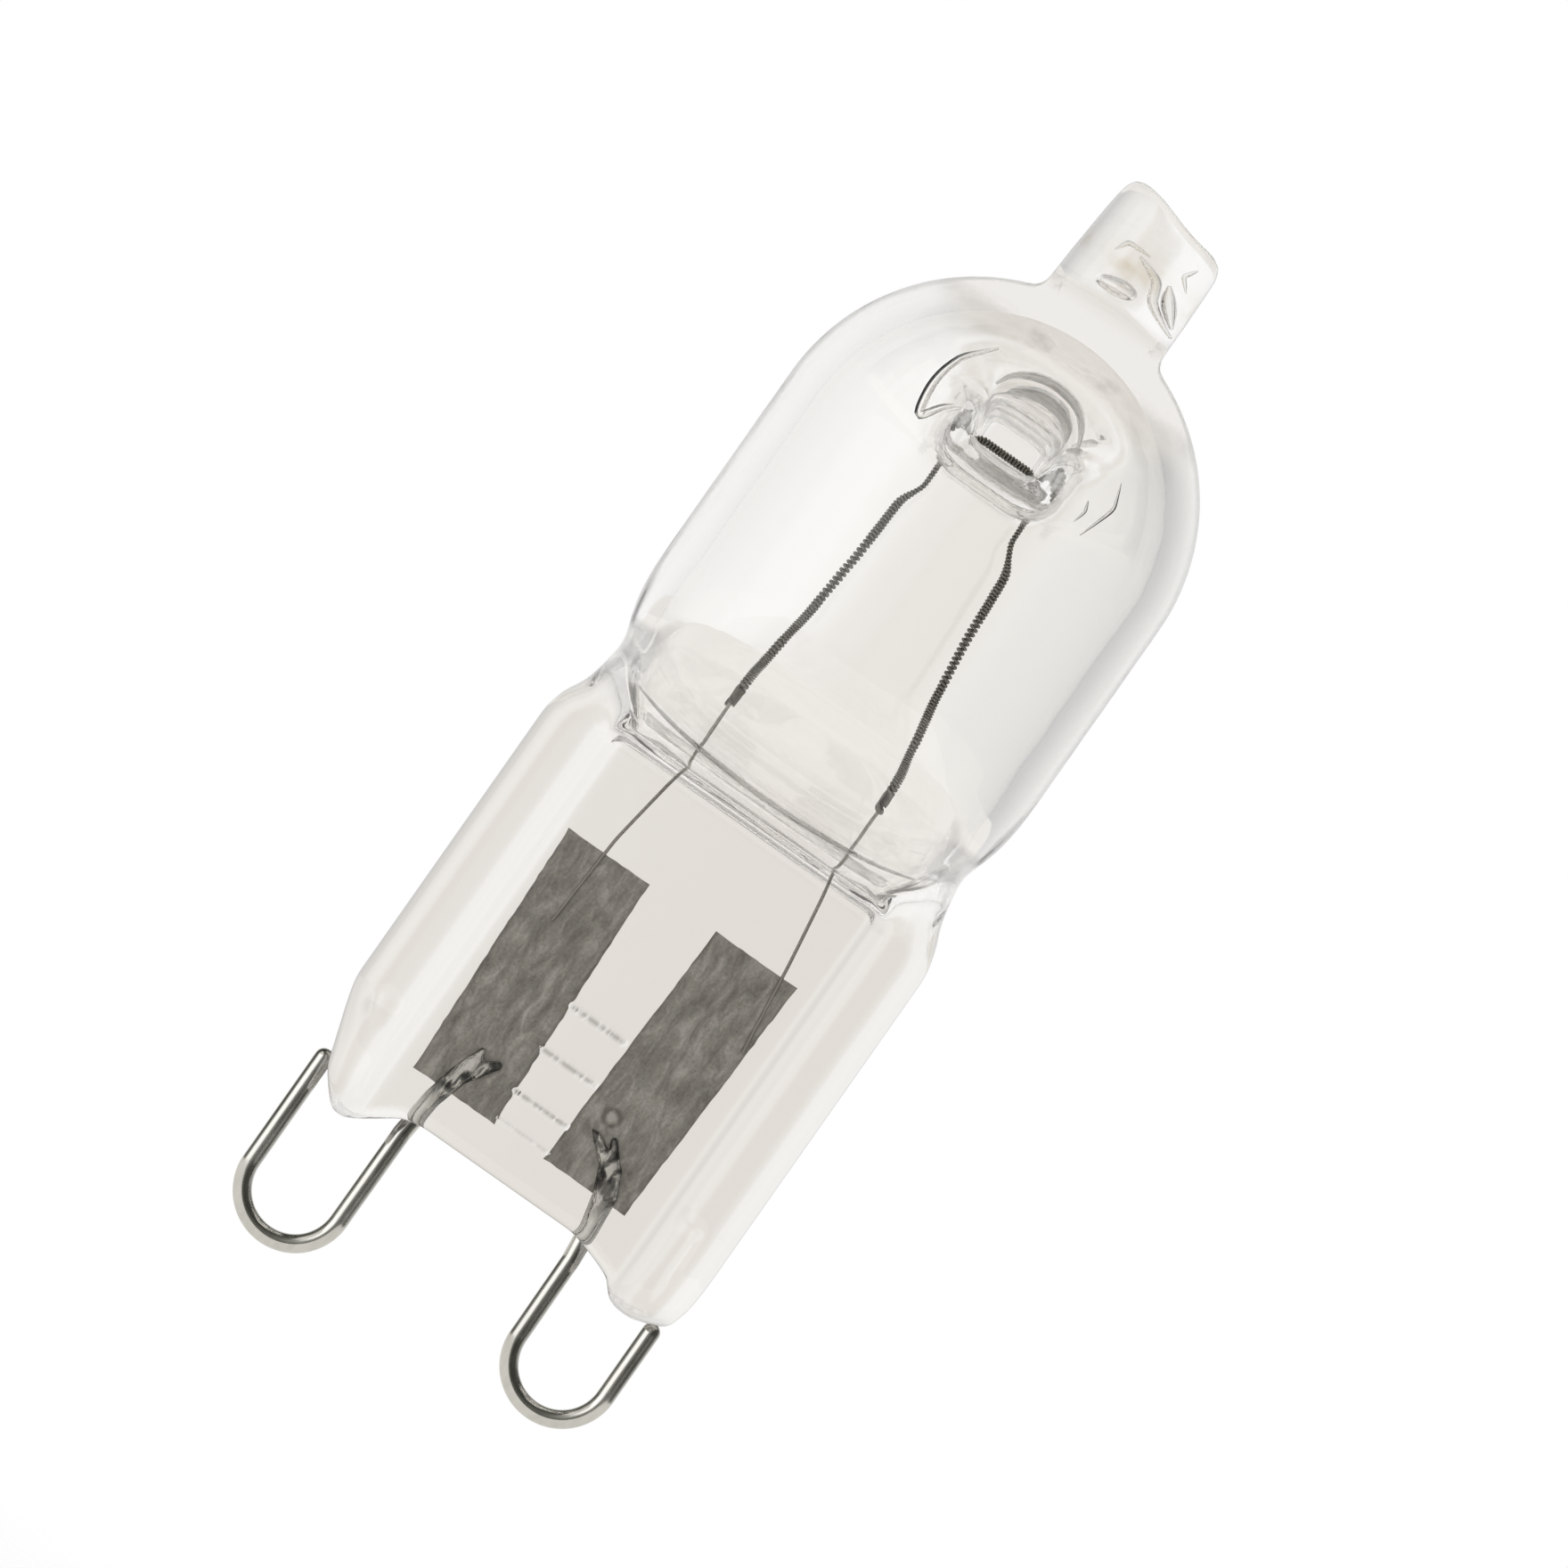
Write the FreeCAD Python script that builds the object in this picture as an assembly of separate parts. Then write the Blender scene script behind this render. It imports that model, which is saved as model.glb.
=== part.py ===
"""Halogen capsule bulb with two looped wire pins, in millimetres.

The lamp's axis is +Z, from the pins to the tip. +X runs along the wide side of the pinch and -Y is the front.
The origin lies midway between the pins, on the underside of the pinch's web.
"""
import FreeCAD, Part
import math
import os

# Pins: two loops of round wire, plugged in side by side.
PIN_PITCH = 9.0        # between the centres of the two loops
PIN_D = 0.55           # wire
LOOP_R = 1.5           # bend of the wire's centre line
LOOP_Z_LEFT = -3.56    # bend centre of the left loop
LOOP_Z_RIGHT = -3.29   # bend centre of the right loop, bent a little shorter
FREE_END_LEFT = 0.25   # top of the left loop's free leg, beside the glass
FREE_END_RIGHT = -0.8  # top of the right loop's free leg, just under the glass
FLAT_T = 0.2           # hammered weld end of each pin
FREE_END_GAP = 0.08    # air around a free leg where it passes the glass

# Pinch: the flat seal, a thin web between two thick rails.
PINCH_W = 13.1
PINCH_H = 12.25        # web bottom to the straight top edge of the flat face
RAIL_T = 4.6
RAIL_W = 2.1
WEB_T = 2.7
LOBE_DROP = 1.0        # rails reach this far below the web
RIB_H = 0.08           # three faint ribs between the foils

# Bulb: a blown tube over the pinch.
BULB_D = 12.7
WALL = 0.95
NECK_STEP = 0.58       # waist between pinch and bulb, radius below the tube's
NECK_RISE = 1.75       # pinch top to waist
SHOULDER = 2.3         # waist to full width
TUBE_L = 7.05          # straight part of the tube
TIP_D = 4.0            # exhaust stub
TIP_H = 4.1            # above the dome's side
TIP_SLANT = 0.55       # the stub's top falls this much to the right
BUBBLE_D = 0.6         # air left where the exhaust channel was melted shut
BUBBLE_X = -0.17
BUBBLE_H = 1.15        # bubble's centre above the stub's foot

# Foils, leads and filament.
FOIL_W = 2.8
FOIL_L = 8.05
FOIL_T = 0.03
FOIL_Z = 1.2           # lower end
FOIL_IN = 2.12         # foil centre, in from the loop centre
FOIL_LEAN = 0.3        # the upper end stands this much further out
FOIL_SHIFT = 0.28      # the right foil lies this much nearer to the middle
LEAD_D = 0.1
LEAD_LAP = 2.4         # length welded on the foil
LEAD_SINK = 0.7        # the weld flattens a lead to this share of its radius on the foil's side
COIL_D = 0.3
COIL_FIT = 0.01        # air between lead and coil bore
COIL_Z = 2.6           # coil foot above the pinch top
LEAD_IN = 3.6          # length of lead inside the coil

# Support: the glass is dented from the front and the back until both sides hold the coil.
CORE_W = 3.3
CORE_H = 2.3
CORE_T = 1.5           # glass left between the two dents
DENT_R = 2.9           # dent at the tube's surface
LINING = 0.7           # glass round the dent

BULB_R = BULB_D / 2
HALF_W = PINCH_W / 2
CAVITY_R = BULB_R - WALL
NECK_Z = PINCH_H + NECK_RISE
TUBE_Z = NECK_Z + SHOULDER
DOME_Z = TUBE_Z + TUBE_L
TIP_Z = DOME_Z + math.sqrt(BULB_R ** 2 - (TIP_D / 2) ** 2)
TOP = TIP_Z + TIP_H
CORE_Z = DOME_Z - 0.45 + CORE_H / 2 + BULB_R * 0.13
FOIL_X = PIN_PITCH / 2 - FOIL_IN
PIN_X = PIN_PITCH / 2 - LOOP_R
FOIL_TOP = FOIL_Z + FOIL_L
COIL_FOOT = PINCH_H + COIL_Z
LEAD_Y = -(FOIL_T + LEAD_D * LEAD_SINK) / 2
PIN_Y = -(FOIL_T + FLAT_T) / 2


def at(x, z, y=0.0):
    return FreeCAD.Vector(x, y, z)


def outline(corners, place):
    """Closed wire through corners (a, b) or (a, b, radius), rounded where a radius is given."""
    edges = []
    last = None
    first = None
    count = len(corners)
    for i, corner in enumerate(corners):
        here = FreeCAD.Vector(corner[0], corner[1], 0)
        radius = corner[2] if len(corner) > 2 else 0
        if radius:
            before = FreeCAD.Vector(*corners[i - 1][:2], 0) - here
            after = FreeCAD.Vector(*corners[(i + 1) % count][:2], 0) - here
            before.normalize()
            after.normalize()
            half = before.getAngle(after) / 2
            reach = radius / math.tan(half)
            middle = before + after
            middle.normalize()
            mid = here + middle * (radius / math.sin(half) - radius)
            start = here + before * reach
            end = here + after * reach
        else:
            start = end = here
        if last is None:
            first = start
        elif (start - last).Length > 1e-6:
            edges.append(Part.LineSegment(place(last), place(start)).toShape())
        if radius:
            edges.append(Part.Arc(place(start), place(mid), place(end)).toShape())
        last = end
    if (first - last).Length > 1e-6:
        edges.append(Part.LineSegment(place(last), place(first)).toShape())
    return Part.Wire(edges)


def front_prism(corners, y0, y1):
    """Solid with the given outline in the front view, from y0 to y1."""
    wire = outline(corners, lambda p: FreeCAD.Vector(p.x, y0, p.y))
    return Part.Face(wire).extrude(FreeCAD.Vector(0, y1 - y0, 0))


def side_prism(corners, x0, x1):
    """Solid with the given outline in the side view, from x0 to x1."""
    wire = outline(corners, lambda p: FreeCAD.Vector(x0, p.x, p.y))
    return Part.Face(wire).extrude(FreeCAD.Vector(x1 - x0, 0, 0))


def turned(edges):
    """Solid turned about the lamp's axis from half-profile edges."""
    return Part.Face(Part.Wire(edges)).revolve(at(0, 0), at(0, 1), 360)


def line(a, b):
    return Part.LineSegment(at(*a), at(*b)).toShape()


def arc(a, b, c):
    return Part.Arc(at(*a), at(*b), at(*c)).toShape()


def neck_edges(radius, step):
    """S-curve of two equal arcs from the waist out to the tube."""
    half = SHOULDER / 2
    bend = (half ** 2 + (step / 2) ** 2) / step
    angle = math.asin(half / bend) / 2
    mid_r = radius - step / 2
    dr = bend * (1 - math.cos(angle))
    dz = bend * math.sin(angle)
    low = arc((radius - step, NECK_Z), (radius - step + dr, NECK_Z + dz), (mid_r, NECK_Z + half))
    high = arc((mid_r, NECK_Z + half), (radius - dr, TUBE_Z - dz), (radius, TUBE_Z))
    return [low, high]


def dome_edge(radius, end_r):
    end_z = DOME_Z + math.sqrt(radius ** 2 - end_r ** 2)
    turn = math.acos(end_r / radius) / 2
    mid = (radius * math.cos(turn), DOME_Z + radius * math.sin(turn))
    return arc((radius, DOME_Z), mid, (end_r, end_z)), end_z


def tube_outside():
    waist = BULB_R - NECK_STEP
    foot = PINCH_H + 0.2
    dome, dome_end = dome_edge(BULB_R, TIP_D / 2)
    edges = [line((0, foot), (waist, foot)), line((waist, foot), (waist, NECK_Z))]
    edges += neck_edges(BULB_R, NECK_STEP)
    edges += [line((BULB_R, TUBE_Z), (BULB_R, DOME_Z)), dome]
    edges += [line((TIP_D / 2, dome_end), (0, dome_end)), line((0, dome_end), (0, foot))]
    body = turned(edges)
    # The tube leans in to the pinch at the front and the back.
    deep = BULB_R + 1
    half = RAIL_T / 2
    leaning = [(half, foot - 1), (half, PINCH_H + 0.6, 1.2), (deep, NECK_Z + deep - half, 2.5), (deep, TOP)]
    mirrored = [(-c[0],) + c[1:] for c in reversed(leaning)]
    return body.common(side_prism(leaning + mirrored, -deep, deep))


def cavity_inside():
    waist = CAVITY_R - NECK_STEP
    foot = PINCH_H + 0.7
    corner = foot + 0.5
    flat_r = waist - 0.9
    dome, dome_end = dome_edge(CAVITY_R, 0)
    edges = [arc((0, foot), (flat_r / 2, foot + 0.05), (flat_r, foot + 0.2))]
    edges += [arc((flat_r, foot + 0.2), (waist - 0.26, corner + 0.05), (waist, NECK_Z))]
    edges += neck_edges(CAVITY_R, NECK_STEP)
    edges += [line((CAVITY_R, TUBE_Z), (CAVITY_R, DOME_Z)), dome, line((0, dome_end), (0, foot))]
    body = turned(edges)
    deep = CAVITY_R + 1
    half = RAIL_T / 2 - WALL - 0.5
    leaning = [(half, foot - 1), (half, foot + 0.35, 0.8), (deep, NECK_Z + deep - half - 0.2, 2), (deep, TOP)]
    mirrored = [(-c[0],) + c[1:] for c in reversed(leaning)]
    return body.common(side_prism(leaning + mirrored, -deep, deep))


def pinch():
    """The pressed seal: an I-section in plan, cut to its outline in the front view."""
    rail_in = HALF_W - RAIL_W
    rail = RAIL_T / 2
    web = WEB_T / 2
    waist = BULB_R - NECK_STEP
    quarter = [(rail_in, web, 0.25), (rail_in + 0.5, rail, 0.35), (HALF_W, rail, 0.9)]
    right = quarter + [(x, -y, r) for x, y, r in reversed(quarter)]
    section = right + [(-x, -y, r) for x, y, r in right]
    wire = outline(section, lambda p: FreeCAD.Vector(p.x, p.y, -2))
    body = Part.Face(wire).extrude(at(0, PINCH_H + 2))
    cap = [(HALF_W, rail, 0.9), (HALF_W, -rail, 0.9), (-HALF_W, -rail, 0.9), (-HALF_W, rail, 0.9)]
    wire = outline(cap, lambda p: FreeCAD.Vector(p.x, p.y, PINCH_H))
    body = body.fuse(Part.Face(wire).extrude(at(0, NECK_RISE + 0.6)))
    low = -LOBE_DROP
    left = -HALF_W
    face = [
        (left, 2.2, 2.0), (left + 0.82, -0.25, 0.5), (left + 1.75, low, 0.5), (left + 3.3, 0, 0.6),
        (HALF_W - 3.3, 0, 0.6), (HALF_W - 2.2, low, 0.3),
        (HALF_W - 0.45, low + 0.25, 0.5), (HALF_W, 0.9, 0.8),
        (HALF_W, PINCH_H - 0.3, 1.0), (waist, NECK_Z - 0.4, 0.8), (waist - 0.8, NECK_Z + 0.6),
        (0.8 - waist, NECK_Z + 0.6), (-waist, NECK_Z - 0.4, 0.8), (left, PINCH_H - 0.3, 1.0),
    ]
    return body.common(front_prism(face, -RAIL_T, RAIL_T)).removeSplitter()


def rail_marks():
    """Shallow marks of the jaws on the front of the rails: a round one and a slot open at the bottom."""
    front = -RAIL_T / 2
    middle = HALF_W - 1.1
    ball = Part.makeSphere(0.5, FreeCAD.Vector(-middle, front - 0.3, 2.1))
    open_end = -LOBE_DROP - 1
    slot = [(middle - 0.7, open_end), (middle - 0.7, 2.1, 0.34), (middle, 2.1, 0.34), (middle, open_end)]
    return ball, front_prism(slot, front - 1, front + 0.3)


def tip():
    """Squared stub where the exhaust tube was melted off."""
    r = TIP_D / 2
    foot = TIP_Z - 0.6
    face = [
        (-r, foot), (-r, TIP_Z), (0.35 - r, TOP, 0.25),
        (r - 0.1, TOP - TIP_SLANT, 0.8), (r, TIP_Z), (r, foot),
    ]
    stub = Part.makeCylinder(r, TOP - foot + 0.1, at(0, foot))
    return stub.common(front_prism(face, -TIP_D, TIP_D))


def frustum(wide, width, height, corner, y0, y1):
    """Tapered plug along Y: flared upwards and sideways at y0, a rounded rectangle at y1, flat underneath."""
    quadrants = [(1, 1), (-1, 1), (-1, -1), (1, -1)]
    small = [(width / 2 * i, height / 2 * k + CORE_Z, corner) for i, k in quadrants]
    side = wide * 0.9
    top = CORE_Z + wide * 0.72
    low = CORE_Z - height / 2 - 0.1
    above = wide * 0.55
    below = wide * 0.25
    large = [(side, top, above), (-side, top, above), (-side, low, below), (side, low, below)]
    wires = [
        outline(large, lambda p: FreeCAD.Vector(p.x, y0, p.y)),
        outline(small, lambda p: FreeCAD.Vector(p.x, y1, p.y)),
    ]
    return Part.makeLoft(wires, True, True)


def support():
    """Lining of both dents with the core between them, and the dents themselves."""
    reach = BULB_R + 0.5
    core = CORE_T / 2
    lining = None
    dents = []
    for side in (-1, 1):
        plug = frustum(DENT_R + LINING, CORE_W, CORE_H, 0.5, side * reach, side * core * 0.9)
        lining = plug if lining is None else lining.fuse(plug)
        small_w = CORE_W - 2 * LINING
        small_h = CORE_H - 2 * LINING
        dents.append(frustum(DENT_R, small_w, small_h, 0.3, side * reach, side * core))
    top = CORE_Z + CORE_H / 2
    low = CORE_Z - CORE_H / 2
    half = CORE_W / 2
    face = [(half, top, 0.5), (-half, top, 0.5), (-half, low, 0.5), (half, low, 0.5)]
    block = front_prism(face, -core, core)
    return lining.fuse(block), dents


def between(a, b, z):
    """Point at height z on the straight line from a to b."""
    share = (z - a[1]) / (b[1] - a[1])
    return (a[0] + (b[0] - a[0]) * share, z)


def corners_of_the_wire():
    """Bends (x, z, radius) of lead and coil: left foil to support, and support to right foil."""
    low = CORE_Z - CORE_H / 2
    lap = FOIL_TOP - LEAD_LAP
    rise = low - COIL_FOOT
    left = [
        (-FOIL_X - 0.57, lap), (-FOIL_X - 0.42, FOIL_TOP + 0.5, 4), (-FOIL_X + 0.02, PINCH_H + 0.4, 4),
        (-FOIL_X + 0.1, COIL_FOOT + 0.8, 8), (-FOIL_X + 0.53, COIL_FOOT + rise * 0.6, 8),
        (-FOIL_X + 0.65, low - 1.55, 1), (-1.42, low - 0.85, 0.7),
        (-1.42, low + 0.25, 0.5), (-0.95, CORE_Z, 0.4),
    ]
    right = [
        (FOIL_X + 1.2, lap), (FOIL_X + 0.86, FOIL_TOP + 0.3, 4), (FOIL_X + 0.4, PINCH_H + 0.3, 3),
        (FOIL_X + 0.3, COIL_FOOT + 0.8, 8), (FOIL_X - 0.33, COIL_FOOT + rise * 0.6, 8),
        (FOIL_X - 0.45, low - 1.6, 1), (1.5, low - 0.75, 0.7), (1.48, low + 0.25, 0.5), (0.95, CORE_Z, 0.4),
    ]
    return left, right[::-1]


def wire_path(corners, y):
    """Open path of lines and arcs through corners (x, z) or (x, z, radius)."""
    edges = []
    last = at(corners[0][0], corners[0][1], y)
    for i in range(1, len(corners)):
        here = at(corners[i][0], corners[i][1], y)
        if i == len(corners) - 1:
            edges.append(Part.LineSegment(last, here).toShape())
            break
        radius = corners[i][2]
        before = at(corners[i - 1][0], corners[i - 1][1], y) - here
        after = at(corners[i + 1][0], corners[i + 1][1], y) - here
        before.normalize()
        after.normalize()
        half = before.getAngle(after) / 2
        reach = radius / math.tan(half)
        middle = before + after
        middle.normalize()
        start = here + before * reach
        edges.append(Part.LineSegment(last, start).toShape())
        last = here + after * reach
        mid = here + middle * (radius / math.sin(half) - radius)
        edges.append(Part.Arc(start, mid, last).toShape())
    return Part.Wire(edges)


def pipe(spine, radius):
    """Round wire along a spine."""
    start = spine.Edges[0]
    at_start = start.valueAt(start.FirstParameter)
    along = start.tangentAt(start.FirstParameter)
    ring = Part.Wire(Part.makeCircle(radius, at_start, along))
    return spine.makePipeShell([ring], True, False)


def pin(side, loop_z, free_end):
    """Looped wire with a hammered, forked weld end on the foil's front."""
    inner = side * PIN_X
    centre = side * PIN_PITCH / 2
    outer = side * (PIN_PITCH / 2 + LOOP_R)
    root = FOIL_Z - 0.2
    inside = wire_path([(inner - side * 0.17, root), (inner, root - 1.6, 4), (inner, loop_z)], PIN_Y)
    edges = list(inside.Edges)
    loop_end = at(outer, loop_z, PIN_Y)
    edges.append(Part.Arc(at(inner, loop_z, PIN_Y), at(centre, loop_z - LOOP_R, PIN_Y), loop_end).toShape())
    edges.append(Part.LineSegment(loop_end, at(outer, free_end, PIN_Y)).toShape())
    wire = pipe(Part.Wire(edges), PIN_D / 2)
    tip_of_wire = at(outer, free_end, PIN_Y)
    rim = [e for e in wire.Edges if (e.CenterOfMass - tip_of_wire).Length < 0.3]
    wire = wire.makeFillet(PIN_D * 0.42, rim)
    # The end tapers in depth down to the hammered flat.
    for face in (-1, 1):
        flat = PIN_Y + face * FLAT_T / 2
        round_y = PIN_Y + face * (PIN_D / 2 + 0.01)
        far = PIN_Y + face * PIN_D
        low, high = root - 0.9, root + 0.3
        taper = [(round_y, low), (far, low), (far, high), (flat, high), (flat, root)]
        wedge = side_prism(taper, inner - side * 1.0, inner + side * 0.6)
        wire = wire.cut(wedge)
    shape = [
        (0.12, -0.45, 0), (0.04, 0.0, 0), (-0.25, 1.0, 0.5),
        (-0.51, 1.85, 0.06), (-0.8, 1.5, 0.1), (-1.28, 1.75, 0.08),
        (-0.77, 0.85, 0.3), (-0.66, 0.2, 0.2), (-0.38, -0.45, 0),
    ]
    corners = [(inner + side * dx, root + dz, r) for dx, dz, r in shape]
    weld_end = front_prism(corners, PIN_Y - FLAT_T / 2, PIN_Y + FLAT_T / 2)
    return wire.fuse(weld_end).Solids[0]


def foil(side):
    low = side * FOIL_X
    if side > 0:
        low -= FOIL_SHIFT
    high = low + side * FOIL_LEAN
    half = FOIL_W / 2
    corners = [(low - half, FOIL_Z), (low + half, FOIL_Z), (high + half, FOIL_TOP), (high - half, FOIL_TOP)]
    return front_prism(corners, -FOIL_T / 2, FOIL_T / 2)


def build():
    left, right = corners_of_the_wire()
    foot_l = between(left[2], left[3], COIL_FOOT)
    foot_r = between(right[-3], right[-4], COIL_FOOT)
    below_l = between(left[2], left[3], COIL_FOOT - 0.2)
    below_r = between(right[-3], right[-4], COIL_FOOT - 0.2)
    end_l = between(left[3], left[4], COIL_FOOT + LEAD_IN)
    end_r = between(right[-4], right[-5], COIL_FOOT + LEAD_IN)
    coil = pipe(wire_path([foot_l] + left[3:] + right[:-3] + [foot_r], LEAD_Y), COIL_D / 2)
    bore = pipe(wire_path([below_l] + left[3:] + right[:-3] + [below_r], LEAD_Y), LEAD_D / 2 + COIL_FIT)
    filament = coil.cut(bore)
    round_l = pipe(wire_path(left[:4] + [end_l], LEAD_Y), LEAD_D / 2)
    round_r = pipe(wire_path([end_r] + right[-4:], LEAD_Y), LEAD_D / 2)
    pin_l = pin(-1, LOOP_Z_LEFT, FREE_END_LEFT)
    pin_r = pin(1, LOOP_Z_RIGHT, FREE_END_RIGHT)
    foil_l = foil(-1)
    foil_r = foil(1)
    lead_l = round_l.cut(foil_l).Solids[0]
    lead_r = round_r.cut(foil_r).Solids[0]

    lining, dents = support()
    glass = tube_outside().fuse(pinch()).fuse(tip())
    hollow = cavity_inside().cut(lining)
    glass = glass.cut(hollow)
    for dent in dents:
        glass = glass.cut(dent)
    for z in (FOIL_Z + 1.15, FOIL_Z + 2.55, FOIL_Z + 4.0):
        rib = Part.makeBox(1.7, RIB_H + 0.3, 0.14, FreeCAD.Vector(-0.95, -WEB_T / 2 - RIB_H, z))
        glass = glass.fuse(rib)
    glass = glass.cut(Part.makeSphere(BUBBLE_D / 2, at(BUBBLE_X, TIP_Z + BUBBLE_H)))
    for mark in rail_marks():
        glass = glass.cut(mark)
    for side, free_end in ((-1, FREE_END_LEFT), (1, FREE_END_RIGHT)):
        x = side * (PIN_PITCH / 2 + LOOP_R)
        length = free_end + 4 + FREE_END_GAP
        room = Part.makeCylinder(PIN_D / 2 + FREE_END_GAP, length, FreeCAD.Vector(x, PIN_Y, -4))
        glass = glass.cut(room)
    for metal in (foil_l, foil_r, round_l, round_r, pin_l, pin_r, coil):
        glass = glass.cut(metal)
    return {
        "glass_envelope": glass.Solids[0],
        "filament": filament.Solids[0],
        "inner_lead_left": lead_l,
        "inner_lead_right": lead_r,
        "foil_left": foil_l,
        "foil_right": foil_r,
        "pin_left": pin_l,
        "pin_right": pin_r,
    }


os.makedirs("parts", exist_ok=True)
for name, shape in build().items():
    box = shape.BoundBox
    print(name, "solids", len(shape.Solids), "valid", shape.isValid(), "volume", round(shape.Volume, 4))
    print("   ", [round(v, 2) for v in (box.XMin, box.XMax, box.YMin, box.YMax, box.ZMin, box.ZMax)])
    shape.exportStep("parts/" + name + ".step")
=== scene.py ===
import math

import bpy
import numpy as np
import openvdb
from mathutils import Matrix, Vector


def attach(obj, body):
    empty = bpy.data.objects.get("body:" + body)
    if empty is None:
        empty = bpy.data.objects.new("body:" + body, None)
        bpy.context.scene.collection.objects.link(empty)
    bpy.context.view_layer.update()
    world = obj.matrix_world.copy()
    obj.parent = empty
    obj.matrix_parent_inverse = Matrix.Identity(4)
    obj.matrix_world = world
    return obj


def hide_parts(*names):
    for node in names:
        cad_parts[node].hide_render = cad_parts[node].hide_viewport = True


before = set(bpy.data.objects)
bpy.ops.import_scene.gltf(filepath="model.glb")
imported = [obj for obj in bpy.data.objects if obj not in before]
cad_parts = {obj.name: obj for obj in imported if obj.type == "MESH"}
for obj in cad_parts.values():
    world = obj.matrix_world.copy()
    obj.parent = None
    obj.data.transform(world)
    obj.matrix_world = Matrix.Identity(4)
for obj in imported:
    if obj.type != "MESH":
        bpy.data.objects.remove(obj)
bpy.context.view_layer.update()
MM = 0.001
GLASS_STEP = 0.165      # grid on which the glass is meshed, in millimetres
PIN_STEP = 0.05        # the same for the pins


def box(name):
    """Lowest and highest corner of a CAD node, in millimetres."""
    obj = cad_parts[name]
    corners = np.array([list(obj.matrix_world @ Vector(c)) for c in obj.bound_box]) / MM
    return corners.min(0), corners.max(0)


# Sizes in millimetres: the outer ones from the frame, the others as in the CAD source.
_, glass_high = box("glass_envelope")
HALF_W = glass_high[0]
BULB_R = glass_high[1]
TOP = glass_high[2]
WALL = 0.95
RAIL = 2.3             # half-thickness of the pinch's rails
WEB = 1.35             # half-thickness of the web between them
RAIL_IN = 4.42         # inner foot of the rails
PINCH_H = 12.25
DOME_Z = 23.35
CORE_Z = 24.875
CORE_W = 1.65          # half-sizes of the block that holds the coil
CORE_H = 1.15
CORE_T = 0.75
WIRE_Y = -0.05
FOIL_W = 2.8
FOIL_H = 8.05
FOIL_X = 2.38          # middle of the left foil's foot; the right foil is nearer to the axis by the shift
FOIL_SHIFT = 0.28
FOIL_Z = 1.2           # height of the foils' feet
FOIL_LEAN = 0.3        # how far the foils lean out over their height
COIL_R = 0.15          # over the turns
PIN_PITCH = 9.0
PIN_R = 0.275
PIN_Y = -0.115
LOOP_R = 1.5
BUBBLE = (-0.17, 0.0, 30.53)
# Sizes of the visual model. The coil's feet are lower than in the CAD, because the glass bends the picture.
COIL_FOOT = 14.52
COIL_WIRE_R = 0.047
COIL_PITCH = 0.105
OPEN_PITCH = 0.15      # in the opened turns, which lie between two heights
OPEN_TURNS = (18.7, 20.7)
FOIL_EDGE_STEP = 0.22  # spacing of the points on a foil's edge, and how far they may stand back from it
FOIL_NICK = 0.03
BUBBLE_HALF = (0.64, 0.5, 0.31)
GAP_HALF = (1.0, 0.4, 0.22)
QUARTZ_IOR = 1.46
# Space in which the glass is meshed, along x, y and z.
GLASS_ROOM = ((-6.9, 6.9), (-6.7, 6.7), (-1.5, 33.9))


def new_material(name):
    mat = bpy.data.materials.new(name)
    mat.use_nodes = True
    nt = mat.node_tree
    nt.nodes.clear()
    out = nt.nodes.new("ShaderNodeOutputMaterial")
    return mat, nt, out


def is_socket(value):
    return isinstance(value, bpy.types.NodeSocket)


def node(nt, kind, inputs=None, **props):
    """New node with its properties, and each input linked to a socket or set to a constant."""
    n = nt.nodes.new(kind)
    for k, v in props.items():
        setattr(n, k, v)
    for k, v in (inputs or {}).items():
        if is_socket(v):
            nt.links.new(v, n.inputs[k])
        else:
            n.inputs[k].default_value = v
    return n


def math_node(nt, op, a, b=0.0, c=0.0):
    return node(nt, "ShaderNodeMath", {0: a, 1: b, 2: c}, operation=op).outputs[0]


def times(nt, product, *others):
    """Product of two or more values."""
    for other in others:
        product = math_node(nt, "MULTIPLY", product, other)
    return product


def ramp(nt, fac, stops):
    """Colour ramp from stops (place, grey) or (place, colour)."""
    n = nt.nodes.new("ShaderNodeValToRGB")
    els = n.color_ramp.elements
    while len(els) < len(stops):
        els.new(0.5)
    for e, (p, c) in zip(els, stops):
        e.position = p
        e.color = (c, c, c, 1) if isinstance(c, (int, float)) else (*c, 1)
    nt.links.new(fac, n.inputs[0])
    return n.outputs[0]


def ranged(nt, value, low, high, start=0.0, end=1.0, kind="LINEAR"):
    """A value between low and high, turned into one between start and end."""
    return node(nt, "ShaderNodeMapRange", {
        "Value": value, "From Min": low, "From Max": high, "To Min": start, "To Max": end},
        interpolation_type=kind).outputs[0]


def blend(nt, share, base, other, kind="MIX"):
    """Mix of two colours, each a socket or three channels, by the share of the second."""
    base, other = (c if is_socket(c) else (*c, 1.0) for c in (base, other))
    mixed = node(nt, "ShaderNodeMix", {0: share, 6: base, 7: other}, data_type="RGBA", blend_type=kind)
    return mixed.outputs[2]


def noise(nt, vec, scale, detail=2.0, roughness=0.5, distortion=0.0):
    return node(nt, "ShaderNodeTexNoise", {
        "Vector": vec, "Scale": scale, "Detail": detail, "Roughness": roughness,
        "Distortion": distortion}).outputs[0]


def attribute(nt, name):
    return node(nt, "ShaderNodeAttribute", attribute_name=name).outputs["Fac"]


def stretched(nt, vec, scale):
    return node(nt, "ShaderNodeVectorMath", {0: vec, 1: scale}, operation="MULTIPLY").outputs[0]


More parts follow.
